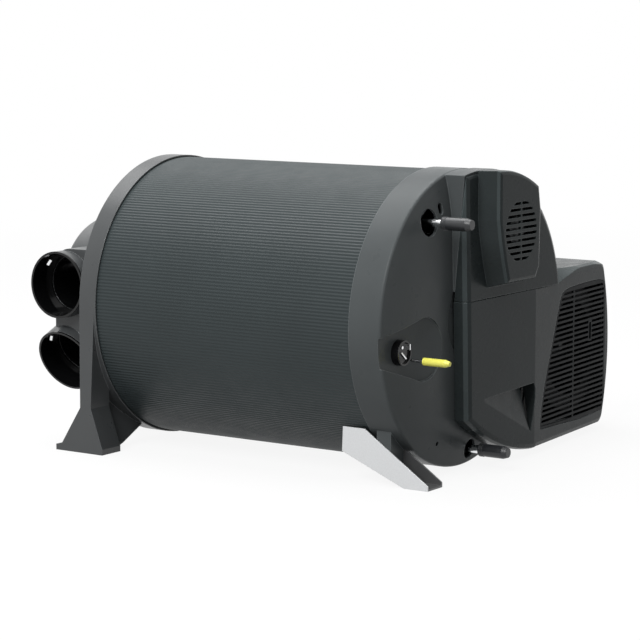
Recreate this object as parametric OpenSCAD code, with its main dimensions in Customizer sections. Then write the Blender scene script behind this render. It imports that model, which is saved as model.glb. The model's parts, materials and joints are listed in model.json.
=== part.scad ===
// Combined warm-air and water heater for a caravan.
// Working axes: x runs along the drum to the service end and is 0 at the jacket's
// left visible edge, y points to the rear, z points up from the drum axis.
// placed() moves everything so the origin is the centre of the footprint on the floor.

/* [Drum] */
// Radius of the ribbed jacket over its ribs
jacket_r = 146; // [130:0.5:160]
// Length of jacket that shows between the end caps
jacket_len = 310; // [280:1:340]
// Sheet thickness of the jacket
jacket_wall = 1.5; // [1:0.1:2]
// Number of fine lengthwise ribs
rib_count = 270; // [120:1:300]
// Depth of the ribs
rib_depth = 0.4; // [0.2:0.1:0.8]
// Length of jacket tucked into each end cap
tuck = 6; // [4:1:8]
// Thickness of the end caps' lip over the jacket
ring_lip = 1.7; // [1.5:0.1:3]
// Gap between the end cap rings and the floor
floor_gap = 4; // [4:0.5:12]
// Gap between the jacket and what it plugs into
jacket_gap = 0.3; // [0.1:0.05:0.4]
// Thickness of the rubber seal at each jacket end
seal_t = 2; // [1:0.5:3]

/* [Air distribution cap] */
// Width of the band over the jacket
band_w = 21; // [18:1:26]
// Overall depth of the cap from the jacket edge
cap_depth = 112; // [105:1:120]
// Wall thickness of the moulded cap
cap_wall = 2.5; // [2:0.1:3]
// Radius of the air chamber where it leaves the band
chamber_r = 90; // [86:1:96]
// Radius of the air chamber before its rounded end
chamber_end_r = 78; // [74:1:82]
// Rounding of the chamber's end
chamber_fillet = 12; // [8:1:18]

/* [Warm air outlets] */
// Inner radius of the outlet sockets, for ducting of 65 mm
duct_r = 32.7; // [32.5:0.1:33.5]
// Wall of the socket
duct_wall = 1; // [0.8:0.1:1.5]
// Depth of the socket
duct_depth = 26; // [22:1:28]
// Thickness of the stop ledge at the socket's bottom
duct_ledge = 2; // [1.5:0.5:3]
// Inner radius of the stop ledge
duct_stop_r = 29; // [27:0.5:30]
// Thickness of the socket's rim
duct_rim = 2; // [1.5:0.5:3]
// Wall of the boss round each socket
boss_wall = 1; // [0.8:0.1:2]
// Gap between socket and boss
duct_gap = 0.25; // [0.2:0.05:0.4]
// Centre of the upper outlet: x, y and z of its mouth
duct_upper = [-69.5, -127, 17]; // [-140:0.5:40]
// Centre of the lower outlet: x, y and z of its mouth
duct_lower = [-72, -111, -65]; // [-140:0.5:40]
// Downward tilt of the lower outlet, degrees
duct_tilt = 24; // [20:1:28]

/* [Feet] */
// Thickness of the leg's front strip
leg_t = 4; // [3:0.5:5]
// Thickness of the leg's side web
web_t = 3.5; // [2.5:0.5:4]
// Thickness of the foot plate
foot_t = 6; // [5:0.5:8]
// Depth of the foot plate from front to back
foot_depth = 29.5; // [26:0.5:34]
// Left end of the foot plate
foot_x0 = -55; // [-60:1:-52]
// Right end of the foot plate
foot_x1 = 6.7; // [5:0.1:9]
// Radius of the floor screw holes
foot_hole_r = 2.75; // [2.2:0.05:3.2]
// Distance of the screw hole from the foot's left end
foot_hole_x = 20; // [14:1:24]

/* [Service end cap] */
// Width of the ring over the jacket
end_ring_w = 36.5; // [34:0.5:40]
// Wall of the service end cap
end_wall = 3; // [2.5:0.1:3.5]
// Height of the domed face above the ring's edge
dome_h = 7; // [5:0.5:9]
// Radius of the hot water pipe's opening
hot_hole_r = 13.5; // [11:0.5:15]
// Radius of the cold water pipe's opening
cold_hole_r = 10; // [8:0.5:11]
// Radius of the fuel recess at its inner end
scoop_r = 31; // [28:1:33]
// Radius of the fuel recess at the ring's edge
scoop_edge_r = 13; // [11:1:15]
// Depth of the fuel recess near the ring's edge
bowl_depth = 10.5; // [9:0.5:12]

/* [Covers] */
// Wall of the moulded covers
cover_wall = 3; // [2.5:0.1:3.5]
// Height of the cover face above the ring's edge
cover_h = 23.5; // [22:0.5:28]
// Rounding of the cover's front edges
cover_fillet = 6; // [3:0.5:8]
// How far the lid's top edge lies inside the ring
cover_inset = 0.5; // [0.5:0.5:2]
// How far the cover reaches behind the drum's centre line
cover_shift = 12; // [8:1:14]
// Left edge of the cover at the seam
cover_left_y = -28.8; // [-32:0.1:-26]
// Lean of the cover's left edge, degrees
cover_lean = 2; // [0:0.5:3]
// Height of the seam between lid and lower cover
seam_z = 20; // [18:0.5:24]
// Width of the seam
seam_gap = 0.6; // [0.4:0.1:1]
// Rise of the slanted wall under the lid's left side
wedge_h = 21; // [16:1:22]
// Height of the pod above the cover face
pod_h = 22; // [18:1:24]
// Draft of the pod's sides
pod_draft = 5; // [3:0.5:6]
// Rounding of the pod's edges
pod_fillet = 4; // [3:0.5:5]
// Radius of the pod's round vent
vent_r = 30.5; // [26:0.5:31]
// Number of slots in the round vent
vent_rows = 10; // [8:1:12]
// Height of a vent slot
vent_slot = 2.8; // [2.2:0.1:3]

/* [Fan box and grille] */
// Width of the fan box
box_w = 149.7; // [146:0.1:154]
// Height of the fan box
box_h = 178; // [174:1:182]
// Depth of the fan box behind the ring's edge
box_depth = 81.5; // [76:0.5:88]
// Gap between the fan box and the floor
box_floor_gap = 6; // [4:0.5:10]
// Gap between the ring and the fan box
box_clear = 4.3; // [4:0.1:6]
// Radius of the front edge's arched top
box_arch_r = 336; // [300:2:400]
// Radius of the bulged right side
box_side_r = 237; // [220:1:260]
// Rounding of the box's corners
box_corner = 14; // [10:1:18]
// Turn of the grille face from square, degrees
face_turn = 5; // [4:0.5:6]
// Where the grille face starts to turn
turn_y = 106; // [100:1:110]
// Thickness of the grille panel
grille_t = 2.2; // [1.8:0.1:2.4]
// Gap round the grille panel
grille_gap = 0.5; // [0.2:0.05:0.6]
// Pitch of the grille slots
grille_pitch = 5.3; // [5:0.1:6.5]
// Height of a grille slot
grille_slot = 2.9; // [2.4:0.1:3.2]
// Width of the grille's frame
grille_frame = 3; // [2:0.5:6]

/* [Heat exchanger and tank] */
// Thickness of the foam round the tank
foam_t = 13.9; // [10:0.1:16]
// Bore of the water tank
tank_bore_r = 82; // [80:0.5:84]
// Sheet thickness of the water tank
tank_wall = 1.5; // [1:0.1:2]
// Number of heat exchanger fins
fin_count = 44; // [36:1:52]
// Thickness of a fin
fin_t = 2; // [1.5:0.1:2.5]
// Radius of the heat exchanger's core
core_r = 60; // [56:1:64]
// Bore of the heat exchanger
core_bore_r = 45; // [42:0.5:48]
// Wall of the burner tube
burner_wall = 1.5; // [1:0.1:2]
// Radius of the burner head casting at the drum axis
head_r = 38; // [34:0.5:40]
// Gap between nested drum parts
drum_gap = 0.3; // [0.2:0.05:0.4]

/* [Fans] */
// Centre of the combustion air fan: y and z
air_fan_at = [36, 86]; // [0:1:100]
// Outer radius of the combustion air fan housing
air_fan_r = 33; // [30:0.5:34]
// Shift of the circulation fan's axis from the box's middle towards the drum
room_fan_shift = 0.15; // [0:0.05:1]
// Gap between the circulation fan's housing and the box's walls
room_fan_gap = 3.85; // [3:0.05:6]
// Radial gap between an impeller hub and its shaft
shaft_gap = 0.05; // [0.02:0.01:0.1]

/* [Pipes] */
// Radius of the water pipes
pipe_r = 4; // [3.5:0.1:4.5]
// Distance of the hot water pipe from the tank's edge
hot_in = 8.62; // [8:0.01:12]
// Direction of the hot water pipe from the drum axis, degrees
hot_angle = 124.36; // [118:0.01:130]
// Cold water pipe's distance behind the drum axis
cold_y = 11.5; // [6:0.1:16]
// Distance of the cold water pipe from the ring's lower edge
cold_in = 15.7; // [15:0.1:18]
// Distance of the fuel pipe from the ring's front edge
fuel_in = 47.7; // [44:0.1:52]
// Height of the fuel pipe from the drum axis
fuel_z = -29.2; // [-32:0.1:-26]
// Radius of the fuel pipe
fuel_r = 1.6; // [1.2:0.1:2]
// Outer radius of the water pipe caps
water_cap_r = 6.4; // [6:0.1:7]
// Outer radius of the fuel pipe's cap
fuel_cap_r = 3.8; // [3.4:0.1:4.4]
// Length of the pipe caps
pipe_cap_len = 32; // [28:1:36]
// Reach of the hot water pipe's cap beyond the ring's edge
pipe_reach = 51.5; // [48:0.5:56]
// Gap between a cap and its pipe
pipe_cap_gap = 0.2; // [0.15:0.05:0.3]
// Outer radius of the exhaust and combustion air stubs
stub_r = 12; // [11:0.5:12.5]
// Free length of the stubs
stub_len = 32; // [26:1:36]

/* [Brackets] */
// Sheet thickness of the brackets
sheet_t = 2; // [1.5:0.1:2.5]
// Outer width of the bracket channel
channel_w = 27; // [24:0.5:30]
// Distance of the front bracket from the ring's front edge
bracket_in = 36; // [34:0.5:40]
// Reach of the front bracket under the jacket
bracket_back = 31; // [27:1:35]
// Distance of the rear bracket from the ring's outer edge
bracket_end = 4.5; // [4:0.5:8]
// Radius of the floor screw holes
bracket_hole_r = 3; // [2.5:0.1:3.5]

/* [Hidden] */
$fn = 96;
big = 1000;
pear_steps = 32;
function unit(a) = [cos(a), sin(a)];

// Radii of the drum, from the jacket outwards
ring_r = jacket_r + jacket_gap + ring_lip;
axis_h = ring_r + floor_gap;
cover_r = ring_r - cover_inset;

// Places along the drum
ring_x0 = jacket_len;
ring_x1 = ring_x0 + end_ring_w;
face_x = ring_x1 + dome_h;
cover_x = ring_x1 + cover_h;
pod_x = cover_x + pod_h;
pipe_tip_x = ring_x1 + pipe_reach;
x_min = -cap_depth;
x_mid = (x_min + pipe_tip_x) / 2;

// Fan box
box_y0 = ring_r + box_clear;
box_y1 = box_y0 + box_w;
box_z0 = box_floor_gap - axis_h;
box_z1 = box_z0 + box_h;
box_x0 = ring_x1 - box_depth;
box_mid_z = (box_z0 + box_z1) / 2;
room_fan_in = box_w / 2 - room_fan_shift;
room_fan_r = box_w / 2 - cover_wall - room_fan_gap;
room_fan_at = [box_y0 + room_fan_in, box_mid_z];
y_mid = (box_y1 - ring_r) / 2;

// Radii that fit each other
seat_r = jacket_r + jacket_gap;
jacket_bore_r = jacket_r - jacket_wall;
shoulder_step = 3.5;
shoulder_r = jacket_bore_r - shoulder_step;
sleeve_r1 = jacket_bore_r - drum_gap;
sleeve_r0 = sleeve_r1 - foam_t;
tank_r = sleeve_r0 - drum_gap;
tank_mid_r = (tank_r + tank_bore_r) / 2;
fin_r = tank_bore_r - drum_gap;
burner_r = core_bore_r - drum_gap;
collar_r = duct_r + duct_wall;
boss_bore_r = collar_r + duct_gap;
boss_r = boss_bore_r + boss_wall;

// Tank and burner along the drum
tank_x0 = 6;
tank_end_gap = 10;
core_reach = 6;
head_sink = 1.5;
tank_x1 = jacket_len - tank_end_gap;
core_x1 = tank_x1 + core_reach;
flange_t = 4;
head_x0 = core_x1 + flange_t;
head_x1 = face_x - head_sink;

// Places of the pipes, in y and z
hot_at = (tank_r - hot_in) * unit(hot_angle);
cold_at = [cold_y, cold_in - ring_r];
fuel_at = [fuel_in - ring_r, fuel_z];

// Frame transforms

module placed() translate([-x_mid, -y_mid, axis_h]) children();

// Pushes a y-z outline along +x from x0
module along_x(x0, len) translate([x0, 0, 0]) rotate([90, 0, 90]) linear_extrude(len) children();

// Pushes an x-z outline along y from y0 to y1
module along_y(y0, y1) translate([0, y1, 0]) rotate([90, 0, 0]) linear_extrude(y1 - y0) children();

// Turns a radius-x profile round the drum axis
module turned(profile) rotate([0, 90, 0]) rotate_extrude() polygon(profile);

// Round bar along +x, at a y-z place
module bar_x(at, r, x0, x1) translate([x0, at[0], at[1]]) rotate([0, 90, 0]) cylinder(r = r, h = x1 - x0);

module both_sides() {
  children();
  mirror([0, 1, 0]) children();
}

// Two circles joined by their outer tangents, as one outline; grow makes it larger
module pear(a, ra, b, rb, grow = 0) {
  d = b - a;
  lean = acos((ra - rb) / norm(d));
  dir = atan2(d[1], d[0]);
  polygon(concat(
    [for (k = [0 : pear_steps]) a + (ra + grow) * unit(dir + lean + (360 - 2 * lean) * k / pear_steps)],
    [for (k = [0 : pear_steps]) b + (rb + grow) * unit(dir - lean + 2 * lean * k / pear_steps)]
  ));
}

// Drum

module rib_outline() polygon([
  for (i = [0 : 2 * rib_count - 1])
    let (a = 180 * i / rib_count, r = jacket_r - (i % 2) * rib_depth) [r * cos(a), r * sin(a)]
]);

module jacket() color("#3a4140") placed()
  along_x(-tuck, jacket_len + 2 * tuck) difference() {
    rib_outline();
    circle(jacket_bore_r, $fn = 360);
  }

module insulation_sleeve() color("#d8d4c4") placed()
  along_x(0, jacket_len) difference() {
    circle(sleeve_r1);
    circle(sleeve_r0);
  }

module cap_seal(x0) color("#151515") placed()
  along_x(x0, seal_t) difference() {
    circle(jacket_r - rib_depth);
    circle(jacket_bore_r);
  }

module cap_seal_left() cap_seal(-tuck - seal_t);
module cap_seal_right() cap_seal(jacket_len + tuck);

// Air distribution cap

// Half profile of the air chamber, pulled in by a wall
function chamber(wall) = let (
  c = [chamber_end_r - chamber_fillet, -cap_depth + chamber_fillet],
  r = chamber_fillet - wall
) concat(
  [[chamber_r - wall, -band_w + (wall > 0 ? cap_wall : 0)]],
  [for (k = [0 : 5]) c + r * [cos(18 * k), -sin(18 * k)]],
  [[0, -cap_depth + wall]]
);

module cap_outside() turned(concat([[0, 0], [ring_r, 0], [ring_r, -band_w]], chamber(0)));

module cap_inside() {
  turned(concat([[0, 0], [shoulder_r, 0], [shoulder_r, -band_w + cap_wall]], chamber(cap_wall)));
  along_x(-tuck - seal_t, big) circle(seat_r);
}

// Puts a piece whose axis is +z at an outlet's mouth
module at_upper() translate(duct_upper) rotate([90, 0, 0]) children();
module at_lower() translate(duct_lower) rotate([90 + duct_tilt, 0, 0]) children();

// Block that carries the two outlets of one side
block_x0 = -84;
block_z0 = -62;
block_z1 = 54;
block_y = [-112, -50];
block_w = -band_w - block_x0;
block_corner = 20;
passage = 60;

module duct_block() {
  along_y(block_y[0], block_y[1]) {
    translate([block_x0, block_z0]) square([block_w, block_z1 - block_corner - block_z0]);
    translate([block_x0 + block_corner, block_z0]) square([block_w - block_corner, block_z1 - block_z0]);
    translate([block_x0 + block_corner, block_z1 - block_corner]) circle(block_corner);
  }
  at_upper() translate([0, 0, -passage]) cylinder(r = boss_r, h = passage - duct_rim);
  at_lower() translate([0, 0, -passage]) cylinder(r = boss_r, h = passage - duct_rim);
}

module duct_cut() {
  translate([0, 0, -duct_depth - duct_ledge]) cylinder(r = boss_bore_r, h = big);
  translate([0, 0, -duct_rim]) cylinder(r = boss_r + duct_gap, h = big);
  translate([0, 0, -passage - 20]) cylinder(r = duct_stop_r, h = passage);
}

// Leg outline seen from the front
leg_top_x = -2;
leg_neck = [-22, -8];
foot_z = -axis_h;
leg_neck_h = 47;
leg_flare_h = 8;
leg_neck_z = foot_z + leg_neck_h;
leg_flare = [-47, foot_z + leg_flare_h];

module leg_outline() polygon([
  [-band_w, 0], [leg_top_x, 0], [leg_neck[1], leg_neck_z], [foot_x1, foot_z + foot_t], [foot_x1, foot_z],
  [foot_x0, foot_z], [foot_x0, foot_z + foot_t], leg_flare, [leg_neck[0], leg_neck_z]
]);

// The web follows the leg's right edge
module web_outline(w) polygon([
  [leg_top_x - w, 0], [leg_top_x, 0], [leg_neck[1], leg_neck_z],
  [foot_x1, foot_z + foot_t], [foot_x1, foot_z],
  [foot_x1 - w, foot_z], [foot_x1 - w, foot_z + foot_t], [leg_neck[1] - w, leg_neck_z]
]);

web_in_y = -60;
web_rise = 22;
web_step = 9;
column_y = foot_depth - ring_r;
leg_gap = 0.2;

module leg() difference() {
  union() {
    along_y(-ring_r, -ring_r + leg_t) leg_outline();
    along_y(-ring_r, column_y) web_outline(web_t);
    along_y(column_y - web_t, column_y) web_outline(web_t + web_step);
    along_y(column_y - web_t, web_in_y) translate([-web_step, 0]) web_outline(web_t);
    translate([foot_x0, -ring_r, foot_z]) cube([foot_x1 - foot_x0, foot_depth, foot_t]);
  }
  along_x(-big / 2, big) polygon([
    [-ring_r + foot_depth, foot_z - 1], [-ring_r + foot_depth, foot_z],
    [web_in_y + 1, foot_z + web_rise], [web_in_y + 1, foot_z - 1]
  ]);
  along_x(-big / 2, big) circle(seat_r + leg_gap);
}

module foot_hole() translate([foot_x0 + foot_hole_x, -ring_r + foot_depth / 2, foot_z - 1])
  cylinder(r = foot_hole_r, h = foot_t + 2);

module air_distribution_cap() color("#6a6f6d") placed() difference() {
  union() {
    difference() {
      union() {
        cap_outside();
        both_sides() duct_block();
      }
      cap_inside();
      both_sides() at_upper() duct_cut();
      both_sides() at_lower() duct_cut();
    }
    both_sides() leg();
  }
  both_sides() foot_hole();
}

// Warm air outlets

module outlet() difference() {
  union() {
    translate([0, 0, -duct_depth - duct_ledge]) cylinder(r = collar_r, h = duct_depth + duct_ledge);
    translate([0, 0, -duct_rim]) cylinder(r = boss_r, h = duct_rim);
  }
  translate([0, 0, -duct_depth]) cylinder(r = duct_r, h = duct_depth + 1);
  translate([0, 0, -duct_depth - duct_ledge - 1]) cylinder(r = duct_stop_r, h = big);
}

module outlet_front_upper() color("#101010") placed() at_upper() outlet();
module outlet_front_lower() color("#101010") placed() at_lower() outlet();
module outlet_rear_upper() color("#101010") placed() mirror([0, 1, 0]) at_upper() outlet();
module outlet_rear_lower() color("#101010") placed() mirror([0, 1, 0]) at_lower() outlet();

// Service end cap

edge_round = 3;
dome_gap = 0.3;
flat_r = 88;
dome_steps = 8;

// Half profile of the domed face, pushed out by grow: a rounded edge, then a parabola up to a flat centre
function dome_face(grow) = [
  for (k = [0 : dome_steps]) let (t = 1 - k / dome_steps)
    [flat_r + t * (ring_r - edge_round - flat_r), face_x + grow - dome_h * t * t]
];
function dome(grow) = concat(
  [[ring_r + grow, ring_x0], [ring_r + grow, ring_x1 - edge_round]],
  [for (k = [1 : 3]) [ring_r - edge_round, ring_x1 - edge_round] + (edge_round + grow) * unit(22.5 * k)],
  dome_face(grow),
  [[0, face_x + grow], [0, ring_x0]]
);

module dome_solid(grow = 0) turned(dome(grow));

module dome_hollow() turned(concat(
  [[0, ring_x0], [ring_r - end_wall, ring_x0], [ring_r - end_wall, ring_x1 - end_wall]],
  dome_face(-end_wall),
  [[0, face_x - end_wall]]
));

// Shoulder that the jacket's seal rests on, with the lip that goes over the jacket
shoulder_t = 3;
shoulder_x = ring_x0 + tuck + seal_t;

module end_shoulder() turned([
  [shoulder_r, shoulder_x], [seat_r, shoulder_x], [seat_r, ring_x0], [ring_r, ring_x0],
  [ring_r, shoulder_x + shoulder_t], [shoulder_r, shoulder_x + shoulder_t]
]);

// Fuel recess: a shallow bowl that is open at the ring's edge and runs out at its inner end
scoop_in = [68 - ring_r, -21];
scoop_out = [-2 - ring_r, -17.5];
scoop_floor_t = 2.5;
bowl_at = [13 - ring_r, -18];
bowl_run = scoop_in[0] + scoop_r - bowl_at[0];
bowl_r = (pow(bowl_run, 2) + pow(bowl_depth, 2)) / 2 / bowl_depth;

module scoop_outline(grow) pear(scoop_in, scoop_r, scoop_out, scoop_edge_r, grow);

module scoop_body(grow) intersection() {
  along_x(ring_x0, 100) scoop_outline(grow);
  translate([face_x + bowl_r - bowl_depth, bowl_at[0], bowl_at[1]]) sphere(bowl_r + grow, $fn = 720);
}

// Openings of the end face, in y and z
hot_hole = hot_at + [-1, -0.2];
oval_in = 25.5;
oval_hole = (ring_r - oval_in) * unit(113.85);
drain_in = 19.5;
drain_hole = (ring_r - drain_in) * unit(246.6);
oval_r = 3.6;
oval_half = 2.2;
oval_lean = 10;
drain_r = 2.6;
head_gap = 1;

// Burner head outline, from the drum axis to the combustion air fan
module head_outline(grow = 0) pear([0, 0], head_r, air_fan_at, air_fan_r, grow);

// Port where circulated air enters the end cap from the fan box
port_x = [shoulder_x + shoulder_t + 1, ring_x1 - 5];
port_half = 39;
port_z = [box_mid_z - port_half, box_mid_z + port_half];
port_wall = 2.5;
port_in_y = 90;
port_reach = 30;
box_gap = 0.3;

module port_tube() translate([port_x[0] - port_wall, port_in_y, port_z[0] - port_wall])
  cube([port_x[1] - port_x[0] + 2 * port_wall, seat_y1 - port_in_y, port_z[1] - port_z[0] + 2 * port_wall]);

module port_hole(y0, y1) translate([port_x[0], y0, port_z[0]])
  cube([port_x[1] - port_x[0], y1 - y0, port_z[1] - port_z[0]]);

// Bosses for the stubs at the rear, above the fan box
stub_rise = [20, 56];
stub_z = [for (h = stub_rise) box_z1 + h];
stub_step = 1;
stub_gap = 0.3;
stub_proud = 1.3;
stub_boss_r = stub_r + stub_step;
stub_x = ring_x1 - stub_boss_r - stub_gap;
stub_face_y = [for (z = stub_z) sqrt(pow(ring_r, 2) - pow(z - stub_boss_r, 2)) + stub_proud];
stub_in_y = 90;
stub_bore_y = 70;

module stub_boss(k) translate([stub_x, stub_in_y, stub_z[k]]) rotate([-90, 0, 0])
  cylinder(r = stub_boss_r, h = stub_face_y[k] - stub_in_y);
module stub_bore(k) {
  translate([stub_x, stub_bore_y, stub_z[k]]) rotate([-90, 0, 0]) cylinder(r = stub_r + stub_gap, h = big);
  translate([stub_x, stub_face_y[k], stub_z[k]]) rotate([-90, 0, 0])
    cylinder(r = stub_boss_r + stub_gap, h = big);
}

// Pads that the brackets clasp, under the ring
bracket_y = bracket_in - ring_r;
pad_x = [[ring_x0 + 8, ring_x0 + 24], [ring_x0 + 8, ring_x1 - 8]];
pad_rise = [16, 14];
pad_z0 = [for (h = pad_rise) h - axis_h];
pad_gap = 0.2;
pad_h = 45;

module bracket_pad(k) translate([pad_x[k][0], bracket_y + sheet_t + pad_gap, pad_z0[k]])
  cube([pad_x[k][1] - pad_x[k][0], channel_w - 2 * sheet_t - 2 * pad_gap, pad_h]);

// Seat behind the covers, from the ring to the fan box
seat_t = 3;
seat_y0 = 60;
seat_z0 = box_z0 + 12;
seat_y1 = box_y0 - box_gap;

module cover_seat() along_x(ring_x1 - seat_t, seat_t) difference() {
  union() {
    intersection() {
      lid_outline(0);
      translate([seat_y0, 0]) square(big);
    }
    translate([seat_y0, seat_z0]) square([seat_y1 - seat_y0, seam_z + seam_gap - seat_z0]);
  }
  circle(ring_r - 1);
  translate([seat_y1, -big / 2]) square([big, big / 2 + box_z1 + box_gap]);
}

// Posts for the control board
board_w = 40;
board_in = 21.5;
board_y = [cover_r - board_in - board_w, cover_r - board_in];
board_z = [30, 82];
board_t = 1.6;
board_x = face_x + 3.5;
post_r = 3;
post_in = 4;
board_posts = [
  for (y = board_y + [post_in, -post_in], z = board_z + [post_in, -post_in]) [y, z]
];

wedge_gap = 0.3;
wedge_low = dome_h + 1;

// Slanted raised wall under the lid's left side
module wedge_region(shift) along_y(-70, -2) polygon([
  [ring_x0, seam_z], [ring_x1 + wedge_low + shift, seam_z], [ring_x1 + wedge_h + shift, seam_z + 120],
  [ring_x1 + wedge_h + 4 + shift, seam_z + 140], [ring_x0, seam_z + 140]
]);

module wedge_wall() intersection() {
  along_x(ring_x1 - 4, wedge_h + 10) difference() {
    lid_outline(0);
    lid_outline(cover_wall);
  }
  wedge_region(0);
}

module service_end_cap() color("#5c615f") placed() difference() {
  union() {
    difference() {
      dome_solid();
      dome_hollow();
    }
    end_shoulder();
    wedge_wall();
    cover_seat();
    intersection() {
      scoop_body(scoop_floor_t);
      dome_solid();
    }
    difference() {
      union() {
        port_tube();
        for (k = [0, 1]) stub_boss(k);
        bracket_pad(0);
        mirror([0, 1, 0]) bracket_pad(1);
      }
      along_x(0, big) circle(ring_r - end_wall - 2);
    }
    for (p = board_posts) bar_x(p, post_r, ring_x1 - 3, board_x);
  }
  along_x(ring_x0 - 1, tuck + seal_t + 1) circle(seat_r);
  along_x(ring_x0, big) head_outline(head_gap);
  bar_x(hot_hole, hot_hole_r, ring_x1, face_x + 5);
  bar_x(cold_at, cold_hole_r, ring_x1 - 5, face_x + 5);
  translate([0, oval_hole[0], oval_hole[1]]) rotate([oval_lean, 0, 0]) {
    for (s = [-1, 1]) bar_x([0, s * oval_half], oval_r, ring_x1, face_x + 5);
    translate([ring_x1, -oval_r, -oval_half]) cube([dome_h + 5, 2 * oval_r, 2 * oval_half]);
  }
  bar_x(drain_hole, drain_r, ring_x1 - 5, face_x + 5);
  scoop_body(0);
  fuel_inlet_hole();
  bar_x(fuel_at, fuel_r + fuel_gap, ring_x0, face_x);
  port_hole(seat_y0, box_y0);
  for (k = [0, 1]) stub_bore(k);
  for (k = [0, 1]) mirror([0, k, 0]) bracket_screw_hole(k);
}

// Covers

module left_edge(d) translate([cover_left_y, seam_z]) rotate(cover_lean) translate([d, -big / 2]) square(big);

module lid_outline(d) intersection() {
  left_edge(d);
  union() {
    for (s = [0, cover_shift]) translate([s, 0]) circle(cover_r - d, $fn = 180);
    translate([0, d - cover_r]) square([cover_shift, 2 * (cover_r - d)]);
  }
  translate([-big / 2, seam_z + seam_gap / 2]) square(big);
}

bottom_r = 263.4;
bottom_gap = 5.1;
bottom_at = [128, bottom_r + bottom_gap - axis_h];
lower_y1 = turn_y + 4;

module lower_outline(d) intersection() {
  left_edge(d);
  translate(bottom_at) circle(bottom_r - d, $fn = 360);
  translate([-big / 2, seam_z - seam_gap / 2 - big]) square(big);
  translate([-big + lower_y1, -big / 2]) square(big);
}

// Heights and insets of a rounded edge in three steps
function round_in(f, k) = f * (1 - cos(45 * k));
function round_up(f, k) = f * (1 - sin(45 * k));

module lid_block() hull() for (k = [0 : 2])
  along_x(ring_x1, cover_h - round_up(cover_fillet, k)) lid_outline(round_in(cover_fillet, k));

module lower_block() hull() for (k = [0 : 2])
  along_x(ring_x1, cover_h - round_up(cover_fillet, k)) lower_outline(round_in(cover_fillet, k));

pod_low_z = 31;
module pod_outline(d, draft) intersection() {
  circle(cover_r - d, $fn = 180);
  offset(delta = -d - draft) polygon([
    [-10.5, ring_r + 12], [-10.5, 99], [-6.5, 79], [-0.5, 57], [8, pod_low_z], [70, pod_low_z], [80, 46],
    [82, 106], [72, ring_r + 12]
  ]);
}

module pod_block() hull() {
  along_x(cover_x - 8, 8) pod_outline(0, 0);
  for (k = [0 : 2]) along_x(cover_x - 8, pod_h + 8 - round_up(pod_fillet, k))
    pod_outline(round_in(pod_fillet, k), pod_draft);
}

vent_pitch = 2 * vent_r / vent_rows;
vent_rib = 2;

module vent_slots() intersection() {
  translate(air_fan_at) circle(vent_r);
  for (i = [0 : vent_rows - 1], s = [-1, 1])
    translate(air_fan_at + [s > 0 ? vent_rib / 2 : -vent_r, (i + 0.5) * vent_pitch - vent_r - vent_slot / 2])
      square([vent_r - vent_rib / 2, vent_slot]);
}

module electronics_lid() color("#474b4d") placed() difference() {
  union() {
    lid_block();
    pod_block();
  }
  along_x(ring_x1 - 1, cover_h + 1 - cover_wall) lid_outline(cover_wall);
  along_x(cover_x - 10, pod_h + 10 - cover_wall) pod_outline(cover_wall, pod_draft);
  along_x(pod_x - 10, 20) vent_slots();
  dome_solid(dome_gap);
  wedge_region(wedge_gap);
}

// Turns a piece about the line where the grille face starts
module turned_face() translate([cover_x, turn_y, 0]) rotate([0, 0, face_turn])
  translate([-cover_x, -turn_y, 0]) children();

box_face_y1 = turn_y + (box_y1 - turn_y) / cos(face_turn);

module box_outline(d, y1) offset(r = box_corner - d) offset(delta = -box_corner) intersection() {
  translate([y1 - box_side_r, box_mid_z]) circle(box_side_r, $fn = 360);
  translate([turn_y - 40, box_z0]) square([big, box_z1 - box_z0]);
}

module box_front(d) intersection() {
  box_outline(d, box_face_y1);
  translate([turn_y, -big / 2]) square(big);
}

module box_block() turned_face() hull() for (k = [0 : 2])
  along_x(ring_x1 - 30, cover_h + 30 - round_up(cover_fillet, k)) box_front(round_in(cover_fillet, k));

lid_rear_y = cover_shift + cover_r;
lid_room = 2.5;

// The front edge's top is arched: a tilted round cut, so the box's top falls a little towards the lid
arch_y = turn_y + 134.5;
arch_z = box_z1 - 2;
arch_tilt = 25;

module box_arch_cut(d) turned_face() translate([cover_x, arch_y, arch_z]) rotate([0, arch_tilt, 0])
  along_x(-2 * cover_h, 3 * cover_h) difference() {
    translate([lid_rear_y + lid_room - arch_y - d, -box_w / 2]) square([2 * box_w, box_w]);
    translate([0, -box_arch_r]) circle(box_arch_r - d, $fn = 720);
  }

// Grille outline on the turned face, measured from the turn line and from the box's edges
grille_side = 14.5;
grille_foot = 13.5;
grille_head = 18.5;
grille_u1 = box_face_y1 - turn_y - grille_side;
grille_z0 = box_z0 + grille_foot;
grille_z1 = box_z1 - grille_head;

module grille_outline(d) offset(delta = -d) translate([turn_y, 0]) polygon([
  [15, grille_z0 + 4.5], [14, grille_z0 + 9.5], [16.5, grille_z0 + 25], [24, grille_z0 + 50],
  [60, grille_z1 - 15.5], [63.5, grille_z1 - 9], [67, grille_z1 - 5.5], [73, grille_z1 - 3],
  [84, grille_z1 - 1.5], [112, grille_z1 - 0.3], [grille_u1 - 38, grille_z1],
  [grille_u1 - 18, grille_z1 - 0.7], [grille_u1 - 7, grille_z1 - 2.5], [grille_u1 - 1, grille_z1 - 8.5],
  [grille_u1, box_mid_z], [grille_u1 - 1, grille_z0 + 10.5], [grille_u1 - 6, grille_z0 + 1.5],
  [118, grille_z0], [65, grille_z0 + 2.5]
]);

// Recess beside the grille: its floor leaves the cover along a slanted line and sinks
// towards the upper right, where a slot runs between the floor's edge and the right wall
recess_z = box_z0 + 20;
recess_dir = -25;
recess_lean = 15;
recess_at = [8, recess_z + 42];

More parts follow.
